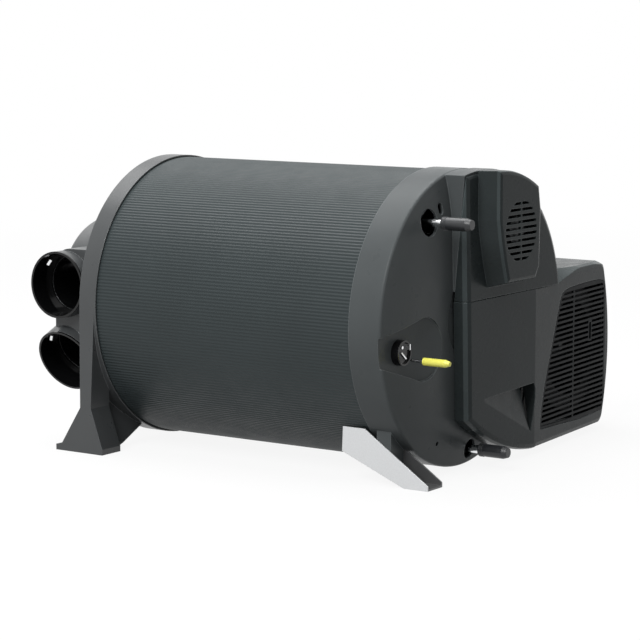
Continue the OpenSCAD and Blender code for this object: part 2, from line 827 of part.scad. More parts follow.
module recess_outline() polygon([
  [6, recess_z + 46], [104, recess_z + 49.5], [107, recess_z + 43], [107, recess_z + 34],
  [105, recess_z + 25], [102.5, recess_z + 14], [98, recess_z + 0.5], [76, recess_z + 5.5],
  [56, recess_z + 13], [30, recess_z + 26], [16, recess_z + 35], [7, recess_z + 43]
]);

module recess_body(grow, sink) intersection() {
  along_x(ring_x1, cover_h + 20) offset(delta = grow) recess_outline();
  translate([cover_x, recess_at[0], recess_at[1]]) rotate([recess_dir, 0, 0]) rotate([0, -recess_lean, 0])
    translate([-sink, -big / 2, -big / 2]) cube(big);
}

module recess_slot() along_x(ring_x1, cover_h) intersection() {
  recess_outline();
  polygon([
    [93.5, recess_z + 60], [92.5, recess_z + 31], [93, recess_z + 14], [97.5, recess_z - 2],
    [turn_y + 10, recess_z - 2], [turn_y + 10, recess_z + 60]
  ]);
}

module lower_cover() color("#4a4e4f") placed() difference() {
  union() {
    difference() {
      union() {
        lower_block();
        box_block();
      }
      along_x(ring_x1 - 1, cover_h + 1 - cover_wall) lower_outline(cover_wall);
      difference() {
        turned_face() along_x(ring_x1 - 40, cover_h + 40 - cover_wall - 0.5) box_front(cover_wall);
        box_arch_cut(cover_wall);
      }
    }
    intersection() {
      recess_body(cover_wall, cover_wall);
      along_x(ring_x1, cover_h - 1) lower_outline(1);
    }
  }
  translate([ring_x1 - 100, -big / 2, -big / 2]) cube([100, big, big]);
  dome_solid(dome_gap);
  translate([ring_x1 - 1, 0, seam_z - seam_gap / 2]) cube([cover_h + 4, lid_rear_y + lid_room, big]);
  turned_face() translate([cover_x, turn_y, -big / 2]) cube(big);
  turned_face() along_x(cover_x - grille_t, 20) grille_outline(0);
  turned_face() along_x(cover_x - 20, 40) grille_outline(4);
  recess_body(0, 0);
  recess_slot();
  box_arch_cut(0);
}

module rear_outline(d) intersection() {
  box_outline(d, box_y1);
  translate([box_y0 + d, -big / 2]) square(big);
}

module fan_box_rear() color("#4a4e4f") placed() difference() {
  along_x(box_x0, ring_x1 - box_x0) rear_outline(0);
  along_x(box_x0 + cover_wall, big) rear_outline(cover_wall);
  port_hole(box_y0 - 1, box_y0 + cover_wall + 1);
}

grille_rows = floor((grille_z1 - grille_z0) / grille_pitch);
divider = 3;
divider_u = 96;
clip_at = [turn_y + 141.5, box_mid_z + 17];
clip_w = 5;
clip_h = 18;
clip_margin = 2;

module intake_grille() color("#3a3d3e") placed() turned_face()
  along_x(cover_x - grille_t, grille_t) difference() {
  grille_outline(grille_gap);
  intersection() {
    difference() {
      grille_outline(grille_frame);
      translate([turn_y + divider_u, grille_z0]) square([divider, grille_z1 - grille_z0]);
      translate(clip_at) square([clip_w + 2 * clip_margin, clip_h + 2 * clip_margin], center = true);
    }
    for (i = [0 : grille_rows])
      translate([turn_y, grille_z0 + i * grille_pitch]) square([grille_u1, grille_slot]);
  }
  translate(clip_at) square([clip_w, clip_h], center = true);
}

// Tank, heat exchanger and burner

module water_tank() color("#c0c4c6") placed() difference() {
  along_x(tank_x0, tank_x1 - tank_x0) difference() {
    circle(tank_r);
    circle(tank_bore_r);
  }
  along_x(tank_x0 + tank_wall, tank_x1 - tank_x0 - 2 * tank_wall) difference() {
    circle(tank_r - tank_wall);
    circle(tank_bore_r + tank_wall);
  }
  bar_x(hot_at, pipe_r - pipe_wall, tank_x1 - 10, tank_x1 + 1);
  bar_x(cold_port, pipe_r - pipe_wall, tank_x1 - 10, tank_x1 + 1);
}

module heat_exchanger() color("#a9adb0") placed()
  along_x(tank_x0, core_x1 - tank_x0) difference() {
    polygon([
      for (i = [0 : fin_count - 1], q = [[core_r, -1], [fin_r, -1], [fin_r, 1], [core_r, 1]])
        let (a = 360 * i / fin_count + q[1] * asin(fin_t / 2 / q[0])) q[0] * [cos(a), sin(a)]
    ]);
    circle(core_bore_r);
  }

burner_x0 = 40;

module burner_tube() color("#b9b4ae") placed()
  along_x(burner_x0, core_x1 - burner_x0) difference() {
    circle(burner_r);
    circle(burner_r - burner_wall);
  }

flange_r = 72;
bolt_r = 2.5;
bolt_pcd_r = 54;
bolt_head_r = 4.5;
bolt_head_h = 3.5;
bolt_gap = 0.1;
bolt_angles = [135, 180, 225, 270, 315];

module burner_flange() color("#9da1a3") placed()
  along_x(core_x1, flange_t) difference() {
    circle(flange_r);
    circle(burner_r - burner_wall);
    for (a = bolt_angles) translate(bolt_pcd_r * [cos(a), sin(a)]) circle(bolt_r + bolt_gap);
  }

module flange_bolts() color("#8d9092") placed()
  for (a = bolt_angles) let (at = bolt_pcd_r * [cos(a), sin(a)]) {
    bar_x(at, bolt_r, core_x1, head_x0);
    bar_x(at, bolt_head_r, head_x0, head_x0 + bolt_head_h);
  }

head_wall = 3;
fan_throat_r = 14;
plug_at = [0, -22];
plug_r = 4;
plug_gap = 0.1;
plug_in = 4;
plug_hex_r = 6;
plug_hex_h = 4;
plug_pin_r = 2;
plug_pin_h = 6;

module burner_head() color("#a2a5a6") placed() difference() {
  along_x(head_x0, head_x1 - head_x0) head_outline();
  along_x(head_x0 + head_wall, head_x1 - head_x0 - 2 * head_wall) head_outline(-head_wall);
  bar_x([0, 0], burner_r - 10, head_x0 - 1, head_x0 + head_wall + 1);
  bar_x(air_fan_at, fan_throat_r, head_x1 - head_wall - 1, head_x1 + 1);
  bar_x(plug_at, plug_r + plug_gap, head_x1 - head_wall - 1, head_x1 + 1);
}

module glow_plug() color("#d5d2c8") placed() {
  bar_x(plug_at, plug_r, head_x0 + plug_in, head_x1);
  bar_x(plug_at, plug_hex_r, head_x1, head_x1 + plug_hex_h);
  bar_x(plug_at, plug_pin_r, head_x1 + plug_hex_h, head_x1 + plug_hex_h + plug_pin_h);
}

// Combustion air fan

air_back = 2.5;
air_depth = 24;
air_rim = 2;
air_x0 = head_x1;
air_x1 = air_x0 + air_back + air_depth;
air_motor_r = 14;
air_shaft_r = 2;
air_wheel_r = 27;
air_wheel_gap = 2.5;
air_motor_len = 9;
spider_w = 4;
air_wall = 2;
air_inlet_r = 23;
air_seat_t = 3;
air_motor_gap = 0.15;
air_hub_r = 6;
air_hub_h = 12;
air_disc_t = 1.5;
air_blades = 12;
air_blade_in = 12;
air_blade_t = 1.4;
air_blade_h = 15;
air_sweep = 25;
disc_sink = 0.5;

// Front plate with three openings round the motor's seat
module air_fan_plate() difference() {
  circle(air_fan_r - air_wall / 2);
  difference() {
    circle(air_inlet_r);
    circle(air_motor_r + air_seat_t);
    for (a = [0, 120, 240]) rotate(a) translate([0, -spider_w / 2]) square([air_fan_r, spider_w]);
  }
  circle(air_motor_r + air_motor_gap);
}

module air_fan_housing() color("#26282a") placed() {
  difference() {
    bar_x(air_fan_at, air_fan_r, air_x0, air_x1 + air_rim);
    bar_x(air_fan_at, air_fan_r - air_wall, air_x0 + air_back, air_x1 + air_rim + 1);
    bar_x(air_fan_at, fan_throat_r, air_x0 - 1, air_x0 + air_back + 1);
  }
  along_x(air_x1, air_rim) translate(air_fan_at) air_fan_plate();
}

module air_fan_motor() color("#7c8082") placed() {
  bar_x(air_fan_at, air_motor_r, air_x1 - 1, air_x1 + air_motor_len - 1);
  bar_x(air_fan_at, air_shaft_r, air_x0 + air_back + air_wheel_gap, air_x1 - 1);
}

module wheel_blades(count, r0, r1, t, sweep) for (i = [0 : count - 1]) rotate(360 * i / count)
  translate([r0, 0]) rotate(sweep) translate([0, -t / 2]) square([(r1 - r0) / cos(sweep), t]);

module air_fan_impeller() color("#101113") placed() {
  x0 = air_x0 + air_back + air_wheel_gap;
  difference() {
    union() {
      bar_x(air_fan_at, air_wheel_r, x0, x0 + air_disc_t);
      bar_x(air_fan_at, air_hub_r, x0, x0 + air_hub_h);
      along_x(x0 + air_disc_t - disc_sink, air_blade_h) translate(air_fan_at) intersection() {
        wheel_blades(air_blades, air_blade_in, air_wheel_r, air_blade_t, air_sweep);
        circle(air_wheel_r);
      }
    }
    bar_x(air_fan_at, air_shaft_r + shaft_gap, x0 - 1, air_x1);
  }
}

// Circulation fan

fan_back = 3;
fan_x0 = box_x0 + cover_wall;
fan_x1 = ring_x1 - 3;
fan_wall = 2;
fan_motor_r = 30;
fan_motor_len = 34;
fan_shaft_r = 4;
fan_wheel_gap = 8;
fan_wheel_r = room_fan_r - fan_wheel_gap;
fan_wheel_x0 = fan_x0 + fan_back + fan_motor_len + 3;
fan_wheel_len = 31;
fan_blades = 32;
fan_disc_t = 2.5;
fan_hub_r = 11;
fan_hub_h = 18;
fan_blade_w = 11;
fan_blade_t = 1.6;
fan_sweep = 30;
fan_band_w = 6;
fan_shaft_short = 6;
fan_shaft_x1 = fan_wheel_x0 + fan_wheel_len - fan_shaft_short;
inlet_in = 18;
inlet_r = room_fan_r - inlet_in;
port_lip = 2;

module room_fan_housing() color("#2b2d2f") placed() difference() {
  union() {
    bar_x(room_fan_at, room_fan_r, fan_x0, fan_x1);
    translate([port_x[0] - port_lip, box_y0 + cover_wall, port_z[0] - port_lip]) cube([
      port_x[1] - port_x[0] + 2 * port_lip, room_fan_in - cover_wall, port_z[1] - port_z[0] + 2 * port_lip
    ]);
  }
  bar_x(room_fan_at, room_fan_r - fan_wall, fan_x0 + fan_back, fan_x1 - fan_wall);
  bar_x(room_fan_at, inlet_r, fan_x1 - fan_wall - 1, fan_x1 + 1);
  port_hole(box_y0, room_fan_at[0] - port_reach);
}

module room_fan_motor() color("#6f7375") placed() {
  bar_x(room_fan_at, fan_motor_r, fan_x0 + fan_back, fan_x0 + fan_back + fan_motor_len);
  bar_x(room_fan_at, fan_shaft_r, fan_x0 + fan_back + fan_motor_len, fan_shaft_x1);
}

module room_fan_impeller() color("#17191b") placed() difference() {
  union() {
    bar_x(room_fan_at, fan_wheel_r, fan_wheel_x0, fan_wheel_x0 + fan_disc_t);
    bar_x(room_fan_at, fan_hub_r, fan_wheel_x0, fan_wheel_x0 + fan_hub_h);
    along_x(fan_wheel_x0 + fan_disc_t - disc_sink, fan_wheel_len - fan_disc_t + disc_sink)
      translate(room_fan_at) intersection() {
        wheel_blades(fan_blades, fan_wheel_r - fan_blade_w, fan_wheel_r, fan_blade_t, fan_sweep);
        circle(fan_wheel_r);
      }
    along_x(fan_wheel_x0 + fan_wheel_len - fan_disc_t, fan_disc_t) translate(room_fan_at) difference() {
      circle(fan_wheel_r);
      circle(fan_wheel_r - fan_band_w);
    }
  }
  bar_x(room_fan_at, fan_shaft_r + shaft_gap, fan_wheel_x0 - 1, fan_x1);
}

// Electronics and sensors

screw_r = 1.4;
screw_gap = 0.2;
screw_head_r = 2.6;
screw_head_h = 1.8;

module control_board() color("#1f5a3a") placed() along_x(board_x, board_t) difference() {
  translate([board_y[0], board_z[0]]) square([board_y[1] - board_y[0], board_z[1] - board_z[0]]);
  for (p = board_posts) translate(p) circle(screw_r + screw_gap);
}

connector_h = 7;
connector_d = 9;
connector_in = 10;
connector_edge = 1;
connectors = [
  [board_z[0] + connector_edge, 22],
  [board_z[1] - connector_edge - connector_d, 16]
];

module board_connectors() color("#e6e2d6") placed() for (c = connectors)
  translate([board_x + board_t, board_y[0] + connector_in, c[0]]) cube([connector_h, c[1], connector_d]);

module board_screws() color("#b8bbbd") placed() for (p = board_posts)
  bar_x(p, screw_head_r, board_x + board_t, board_x + board_t + screw_head_h);

switch_at = tank_mid_r * unit(22);
sensor_at = tank_mid_r * unit(233);
switch_plate_r = 9;
switch_plate_t = 2;
switch_r = 7;
switch_h = 7;
sensor_hex_r = 6.5;
sensor_hex_h = 6;
sensor_r = 3.5;
sensor_h = 10;

module overheat_switch() color("#2a2a2a") placed() {
  bar_x(switch_at, switch_plate_r, tank_x1, tank_x1 + switch_plate_t);
  bar_x(switch_at, switch_r, tank_x1 + switch_plate_t, tank_x1 + switch_plate_t + switch_h);
}

module water_sensor() color("#b08d4a") placed() {
  translate([tank_x1, sensor_at[0], sensor_at[1]]) rotate([0, 90, 0])
    cylinder(r = sensor_hex_r, h = sensor_hex_h, $fn = 6);
  bar_x(sensor_at, sensor_r, tank_x1 + sensor_hex_h, tank_x1 + sensor_hex_h + sensor_h);
}

// Pipes and their protective caps

pipe_wall = 1;
pipe_cap_end = 7;
cap_nose = 5;
cap_taper = 1.6;
cold_bend = 24;
cold_short = 4;
fuel_short = 4;
fuel_cap_len = pipe_cap_len - 3;
fuel_back = 20.5;
cold_port_in = 12;
cold_port = [cold_y, cold_port_in - tank_r];
cold_bend_x = tank_x1 + cold_bend;
cold_tip_x = pipe_tip_x - cold_short;
fuel_tip_x = pipe_tip_x - fuel_short;
fuel_x0 = ring_x1 - fuel_back;
fuel_gap = 0.2;

module hot_water_pipe() color("#dcdfe0") placed() difference() {
  bar_x(hot_at, pipe_r, tank_x1, pipe_tip_x - pipe_cap_end);
  bar_x(hot_at, pipe_r - pipe_wall, tank_x1 - 1, pipe_tip_x);
}

// Water pipe with one step down between the tank port and the end face
module cold_run(r) {
  bar_x(cold_port, r, tank_x1, cold_bend_x);
  translate([cold_bend_x, cold_port[0], cold_port[1]]) sphere(r);
  translate([cold_bend_x, cold_at[0], cold_at[1]]) sphere(r);
  translate([cold_bend_x, cold_at[0], cold_at[1]]) cylinder(r = r, h = cold_port[1] - cold_at[1]);
  bar_x(cold_at, r, cold_bend_x, cold_tip_x - pipe_cap_end);
}

module cold_water_pipe() color("#dcdfe0") placed() cold_run(pipe_r);

// Push-on cap with a flat nib at its end
module pipe_cap(at, tip_x, len, r, bore_r) difference() {
  union() {
    bar_x(at, r, tip_x - len, tip_x - cap_nose);
    translate([tip_x - cap_nose, at[0], at[1]]) rotate([0, 90, 0])
      cylinder(r1 = r, r2 = r - cap_taper, h = cap_nose);
  }
  bar_x(at, bore_r, tip_x - len - 1, tip_x - pipe_cap_end + 1);
}

module water_cap(at, tip_x) color("#33373a") placed()
  pipe_cap(at, tip_x, pipe_cap_len, water_cap_r, pipe_r + pipe_cap_gap);
module hot_water_cap() water_cap(hot_at, pipe_tip_x);
module cold_water_cap() water_cap(cold_at, cold_tip_x);

module fuel_pipe() color("#cfd2d3") placed() bar_x(fuel_at, fuel_r, fuel_x0, fuel_tip_x - pipe_cap_end);
module fuel_cap() color("#e8dc1e") placed()
  pipe_cap(fuel_at, fuel_tip_x, fuel_cap_len, fuel_cap_r, fuel_r + pipe_cap_gap);

// Round black connector in a flat seat of the fuel recess
inlet_at = [35.3 - ring_r, -20.8];
inlet_x = face_x - bowl_depth + 0.2;
inlet_neck_r = 9.5;
inlet_flange_r = 12.2;
inlet_flange_t = 8;
inlet_neck_h = 9;
inlet_gap = 0.2;
inlet_rim = 1.8;
inlet_floor = 6;

module at_inlet() translate([inlet_x, inlet_at[0], inlet_at[1]]) rotate([0, 90, 0]) children();
module fuel_inlet_hole() at_inlet() {
  translate([0, 0, -big / 2]) cylinder(r = inlet_neck_r + inlet_gap, h = big);
  cylinder(r = inlet_flange_r + inlet_gap, h = big);
}

// Contacts in the connector: a pin, a blade and a lying bar, in y and z from its centre
pin_at = [-5.5, 6];
pin_r = 1.5;
pin_h = 3;
blade_at = [4.8, 5.6];
blade_size = [5, 1.4, 5.6];
bar_at = [-4.8, 1.2];
bar_r = 1;
bar_len = 10.5;
bar_turn = 49.5;

module fuel_inlet() color("#0c0c0c") placed() at_inlet() difference() {
  union() {
    translate([0, 0, -inlet_neck_h]) cylinder(r = inlet_neck_r, h = inlet_neck_h);
    cylinder(r = inlet_flange_r, h = inlet_flange_t);
  }
  translate([0, 0, inlet_floor]) cylinder(r = inlet_flange_r - inlet_rim, h = inlet_flange_t);
}

module fuel_inlet_pins() color("#e4e6e7") placed() at_inlet() translate([0, 0, inlet_floor]) {
  translate([-pin_at[1], pin_at[0], 0]) cylinder(r = pin_r, h = pin_h);
  translate([-blade_at[1] - blade_size[2] / 2, blade_at[0] - blade_size[1] / 2, 0])
    cube([blade_size[2], blade_size[1], blade_size[0]]);
  translate([-bar_at[1], bar_at[0], bar_r]) rotate([0, 90, bar_turn]) cylinder(r = bar_r, h = bar_len);
}

stub_flange_t = 3;
stub_wall = 1.5;
stub_tuck = 5;

module stub(k) translate([stub_x, 0, stub_z[k]]) rotate([-90, 0, 0]) difference() {
  union() {
    translate([0, 0, stub_in_y + stub_tuck]) cylinder(r = stub_r, h = stub_face_y[k] - stub_in_y - stub_tuck);
    translate([0, 0, stub_face_y[k]]) cylinder(r = stub_boss_r, h = stub_flange_t);
    translate([0, 0, stub_face_y[k]]) cylinder(r = stub_r, h = stub_flange_t + stub_len);
  }
  translate([0, 0, stub_in_y]) cylinder(r = stub_r - stub_wall, h = big);
}

module exhaust_stub() color("#b4b6b7") placed() stub(0);
module combustion_air_stub() color("#2d2f30") placed() stub(1);

// Sheet brackets

bracket_front_x = ring_x0 - bracket_back;
bracket_rear_x = ring_x1 - bracket_end;
arm_h = 53.5;
arm_tip_h = 5;
web_h = [29, 12];
arm_top = arm_h - axis_h;
arm_len = 98;
arm_top_u = 26;
arm_tip_z = arm_tip_h - axis_h;
web_z = [for (h = web_h) h - axis_h];
web_u = [71, 40];
slot_u = 85;
screw_x = ring_x0 + 18;
screw_in = 11;
bracket_screw_drop = [3.127, 4.127];
bracket_screw_r = 2.2;
bracket_screw_gap = 0.1;
bracket_head_r = 4;
bracket_head_h = 2.5;
ring_gap = 0.3;

// The screw heads stay clear below the ring
screw_head_y = bracket_y + channel_w + bracket_head_h;
ring_low_z = -sqrt(pow(ring_r, 2) - pow(screw_head_y, 2));
bracket_screw_z = [for (d = bracket_screw_drop) ring_low_z - bracket_head_r - d];

module arm_side(k) polygon([
  [1, arm_top], [arm_top_u, arm_top], [arm_len, arm_tip_z], [arm_len, -axis_h], [web_u[k], -axis_h],
  [0, web_z[k]]
]);
module arm_web(k) polygon([
  [0, web_z[k]], [web_u[k], -axis_h], [arm_len, -axis_h], [arm_len, -axis_h + sheet_t],
  [web_u[k] + 0.5, -axis_h + sheet_t], [0, web_z[k] + sheet_t]
]);

// Channel with its tall end at x = 0 and its foot towards +x
module channel(k) difference() {
  union() {
    along_y(bracket_y, bracket_y + sheet_t) arm_side(k);
    along_y(bracket_y + channel_w - sheet_t, bracket_y + channel_w) arm_side(k);
    along_y(bracket_y, bracket_y + channel_w) arm_web(k);
  }
  translate([slot_u, bracket_y + channel_w / 2, -axis_h - 1]) cylinder(r = bracket_hole_r, h = sheet_t + 2);
}

module bracket_cuts(k) {
  along_x(0, big) circle(ring_r + ring_gap);
  bracket_screw_hole(k);
}

module bracket_screw_hole(k) translate([screw_x, bracket_y + channel_w - screw_in - 1, bracket_screw_z[k]])
  rotate([-90, 0, 0]) cylinder(r = bracket_screw_r + bracket_screw_gap, h = screw_in + 3);

module bracket_screw(k) translate([screw_x, bracket_y + channel_w, bracket_screw_z[k]]) rotate([-90, 0, 0]) {
  translate([0, 0, -screw_in]) cylinder(r = bracket_screw_r, h = screw_in);
  cylinder(r = bracket_head_r, h = bracket_head_h);
}

module front_bracket() color("#dadcdc") placed() difference() {
  translate([bracket_front_x, 0, 0]) channel(0);
  bracket_cuts(0);
}

module rear_bracket() color("#dadcdc") placed() mirror([0, 1, 0]) difference() {
  translate([bracket_rear_x, 0, 0]) mirror([1, 0, 0]) channel(1);
  bracket_cuts(1);
}

module bracket_screws() color("#a5a8a9") placed() for (k = [0, 1]) mirror([0, k, 0]) bracket_screw(k);

jacket();
insulation_sleeve();
cap_seal_left();
cap_seal_right();
air_distribution_cap();
outlet_front_upper();
outlet_front_lower();
outlet_rear_upper();
outlet_rear_lower();
service_end_cap();
electronics_lid();
lower_cover();
fan_box_rear();
intake_grille();
water_tank();
heat_exchanger();
burner_tube();
burner_flange();
burner_head();
glow_plug();
flange_bolts();
air_fan_housing();
air_fan_motor();
air_fan_impeller();
room_fan_housing();
room_fan_motor();
room_fan_impeller();
control_board();
board_connectors();
board_screws();
overheat_switch();
water_sensor();
hot_water_pipe();
hot_water_cap();
cold_water_pipe();
cold_water_cap();
fuel_pipe();
fuel_cap();
fuel_inlet();
fuel_inlet_pins();
exhaust_stub();
combustion_air_stub();
front_bracket();
rear_bracket();
bracket_screws();
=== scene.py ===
"""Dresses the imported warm-air and water heater: materials, edges, small trim, light and camera."""
import json
import math
import bmesh
import bpy
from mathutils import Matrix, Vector


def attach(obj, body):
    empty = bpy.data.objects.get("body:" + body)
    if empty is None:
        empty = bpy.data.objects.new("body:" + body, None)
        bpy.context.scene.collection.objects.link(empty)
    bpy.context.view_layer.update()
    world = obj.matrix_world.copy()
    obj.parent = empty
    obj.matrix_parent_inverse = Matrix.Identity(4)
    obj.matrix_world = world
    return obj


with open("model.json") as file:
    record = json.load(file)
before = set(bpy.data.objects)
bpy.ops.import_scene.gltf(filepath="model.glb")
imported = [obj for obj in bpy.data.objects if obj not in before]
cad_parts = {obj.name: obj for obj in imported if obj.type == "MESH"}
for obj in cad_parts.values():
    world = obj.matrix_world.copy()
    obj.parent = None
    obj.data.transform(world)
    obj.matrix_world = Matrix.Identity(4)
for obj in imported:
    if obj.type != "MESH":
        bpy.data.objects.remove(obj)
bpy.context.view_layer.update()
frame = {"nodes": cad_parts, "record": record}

NODES = frame["nodes"]
ROOT = "heater"
MM = 0.001
# The drum's axis, in millimetres
DRUM_Y, DRUM_Z = -77.0, 152.0
scene = bpy.context.scene


# Materials, with all lengths in metres

NOISE_MIDDLE = (0.3, 0.7)
TONE_STOPS = (0.35, 0.65)
CLOUD_SCALE, CLOUD_DETAIL = 14.0, 5.0
GLOSS_SCALE, GLOSS_DETAIL, GLOSS_SPREAD = 60.0, 6.0, 0.05
GRAIN_DETAIL, GRAIN_STRENGTH = 2.0, 0.6
STREAK_DETAIL, STREAK_SPREAD, STREAK_STRENGTH = 5.0, 0.06, 0.5
EDGE_SAMPLES = 6
# Painted highlight along the edges, where an edge's rounded normal leaves the flat one: cosines of the
# angle between them
EDGE_HIGHLIGHT_RANGE, EDGE_HIGHLIGHT_GAIN = (0.985, 0.80), 2.4
# Painted highlight on a rounding, by how far its normal leans to the front, x
FILLET_RISE, FILLET_FALL = (0.28, 0.46), (0.80, 0.92)
# Painted shade inside a bracket, by its distance from the plane through the drum's axis
INSIDE_SHADE_START, INSIDE_SHADE_END = (0.1112, 0.1102), (0.0858, 0.0852)


def start_material(name):
    """A new material, its tree, its shader and the object's own coordinates."""
    mat = bpy.data.materials.new(name)
    mat.use_nodes = True
    tree = mat.node_tree
    bsdf = tree.nodes["Principled BSDF"]
    coord = tree.nodes.new("ShaderNodeTexCoord")
    return mat, tree, bsdf, coord.outputs["Object"]


def noise(tree, vector, scale, detail, stretch=None):
    """A noise texture; stretch scales the three axes."""
    if stretch:
        mapping = tree.nodes.new("ShaderNodeMapping")
        mapping.inputs["Scale"].default_value = stretch
        tree.links.new(vector, mapping.inputs["Vector"])
        vector = mapping.outputs["Vector"]
    tex = tree.nodes.new("ShaderNodeTexNoise")
    tex.inputs["Scale"].default_value = scale
    tex.inputs["Detail"].default_value = detail
    tree.links.new(vector, tex.inputs["Vector"])
    return tex.outputs["Fac"]


def ranged(tree, value, source, target, smooth_step=True):
    """Goes from one end of target to the other while the value goes from one end of source to the other."""
    node = tree.nodes.new("ShaderNodeMapRange")
    if smooth_step:
        node.interpolation_type = "SMOOTHSTEP"
    for sockets, numbers in ((("From Min", "From Max"), source), (("To Min", "To Max"), target)):
        for socket, number in zip(sockets, numbers):
            node.inputs[socket].default_value = number
    tree.links.new(value, node.inputs["Value"])
    return node.outputs["Result"]


def around(tree, fac, middle, spread):
    """Turns a noise into values from a little under the middle to a little over it."""
    return ranged(tree, fac, NOISE_MIDDLE, (middle - spread, middle + spread), smooth_step=False)


def tones(tree, fac, color, share):
    """Turns a noise into tones of a colour, from darker to lighter by the share given."""
    ramp = tree.nodes.new("ShaderNodeValToRGB")
    for stop, place, factor in zip(ramp.color_ramp.elements, TONE_STOPS, (1 - share, 1 + share)):
        stop.position = place
        stop.color = (*(c * factor for c in color), 1)
    tree.links.new(fac, ramp.inputs["Fac"])
    return ramp.outputs["Color"]


def math_node(tree, operation, first, second=None):
    """A calculation with one value or two; the second is a number or another node's output."""
    node = tree.nodes.new("ShaderNodeMath")
    node.operation = operation
    tree.links.new(first, node.inputs[0])
    if isinstance(second, float):
        node.inputs[1].default_value = second
    elif second:
        tree.links.new(second, node.inputs[1])
    return node.outputs[0]


def scaled(tree, color, factor):
    """A colour times a factor."""
    node = tree.nodes.new("ShaderNodeVectorMath")
    node.operation = "SCALE"
    tree.links.new(color, node.inputs[0])
    tree.links.new(factor, node.inputs["Scale"])
    return node.outputs["Vector"]


def part_of(tree, vector, axis):
    """One axis of a vector."""
    node = tree.nodes.new("ShaderNodeSeparateXYZ")
    tree.links.new(vector, node.inputs[0])
    return node.outputs[axis]


def true_normal(tree):
    """The normal of the surface, without relief."""
    return tree.nodes.new("ShaderNodeNewGeometry").outputs["Normal"]


def round_edges(tree, radius):
    """The normal of a surface whose edges are rounded by the radius given."""
    turn = tree.nodes.new("ShaderNodeBevel")
    turn.samples = EDGE_SAMPLES
    turn.inputs["Radius"].default_value = radius
    return turn.outputs["Normal"]


def bump(tree, bsdf, fac, height, strength, edge_normal=None):
    """Surface relief over the edges' own normal."""
    node = tree.nodes.new("ShaderNodeBump")
    node.inputs["Distance"].default_value = height
    node.inputs["Strength"].default_value = strength
    tree.links.new(fac, node.inputs["Height"])
    if edge_normal:
        tree.links.new(edge_normal, node.inputs["Normal"])
    tree.links.new(node.outputs["Normal"], bsdf.inputs["Normal"])


def painted_edge_highlight(tree, color, edge_normal):
    """A colour that is lighter along the edges: a painted highlight."""
    dot = tree.nodes.new("ShaderNodeVectorMath")
    dot.operation = "DOT_PRODUCT"
    tree.links.new(true_normal(tree), dot.inputs[0])
    tree.links.new(edge_normal, dot.inputs[1])
    return scaled(tree, color, ranged(tree, dot.outputs["Value"], EDGE_HIGHLIGHT_RANGE, (1.0, EDGE_HIGHLIGHT_GAIN)))


def band(tree, value, rise, fall, gain):
    """A factor that goes from 1 to gain over the range of rise, and back to 1 over the range of fall."""
    there = ranged(tree, value, rise, (1.0, gain))
    back = ranged(tree, value, fall, (1.0, 1.0 / gain))
    return math_node(tree, "MULTIPLY", there, back)


def painted_fillet_highlight(tree, color, gain):
    """A colour that is lighter on the roundings between sides and front: a painted highlight."""
    lean = part_of(tree, true_normal(tree), "X")
    return scaled(tree, color, band(tree, lean, FILLET_RISE, FILLET_FALL, gain))


def painted_inside_shade(tree, vector, color, gain):
    """A colour that is darker between the two flanges of a bracket: painted shade."""
    off = math_node(tree, "SUBTRACT", part_of(tree, vector, "Y"), DRUM_Y * MM)
    off = math_node(tree, "ABSOLUTE", off)
    return scaled(tree, color, band(tree, off, INSIDE_SHADE_START, INSIDE_SHADE_END, gain))


def moulded(name, color, rough, grain, grain_scale, mottle=0.06, spec=0.5, edge=0.0, fillet_highlight_gain=0.0, ring_sheen=None):
    """Injection-moulded plastic: spark-eroded grain, cloudy tone and gloss.

    edge is the radius of its edges and also the width of a painted highlight along them; the fillet gain
    paints a highlight on its roundings;
    the ring ranges give from where to where along x its tone changes, and the factors there, which paint a
    reflection that makes the ring lighter than the face.
    """
    mat, tree, bsdf, vec = start_material(name)
    cloud = tones(tree, noise(tree, vec, CLOUD_SCALE, CLOUD_DETAIL), color, mottle)
    edge_normal = round_edges(tree, edge) if edge else None
    # Painted highlight along the edges
    if edge:
        cloud = painted_edge_highlight(tree, cloud, edge_normal)
    # Painted highlight on the roundings
    if fillet_highlight_gain:
        cloud = painted_fillet_highlight(tree, cloud, fillet_highlight_gain)
    # Painted reflection: the ring is made lighter than the face
    if ring_sheen:
        cloud = scaled(tree, cloud, ranged(tree, part_of(tree, vec, "X"), *ring_sheen))
    tree.links.new(cloud, bsdf.inputs["Base Color"])
    gloss = around(tree, noise(tree, vec, GLOSS_SCALE, GLOSS_DETAIL), rough, GLOSS_SPREAD)
    tree.links.new(gloss, bsdf.inputs["Roughness"])
    bump(tree, bsdf, noise(tree, vec, grain_scale, GRAIN_DETAIL), grain, GRAIN_STRENGTH, edge_normal)
    bsdf.inputs["Specular IOR Level"].default_value = spec
    return mat


def metal(name, color, rough, streak_scale, streak=None, height=0.00001, tone=0.05, metallic=1.0, edge=0.0,
          inside_shade=0.0):
    """Metal with drawn or rolled streaks; the inside factor gives painted shade between a bracket's
    flanges.
    """
    mat, tree, bsdf, vec = start_material(name)
    lines = noise(tree, vec, streak_scale, STREAK_DETAIL, streak)
    streaks = tones(tree, lines, color, tone)
    # Painted shade between a bracket's flanges
    if inside_shade:
        streaks = painted_inside_shade(tree, vec, streaks, inside_shade)
    tree.links.new(streaks, bsdf.inputs["Base Color"])
    tree.links.new(around(tree, lines, rough, STREAK_SPREAD), bsdf.inputs["Roughness"])
    bump(tree, bsdf, lines, height, STREAK_STRENGTH, round_edges(tree, edge) if edge else None)
    bsdf.inputs["Metallic"].default_value = metallic
    return mat


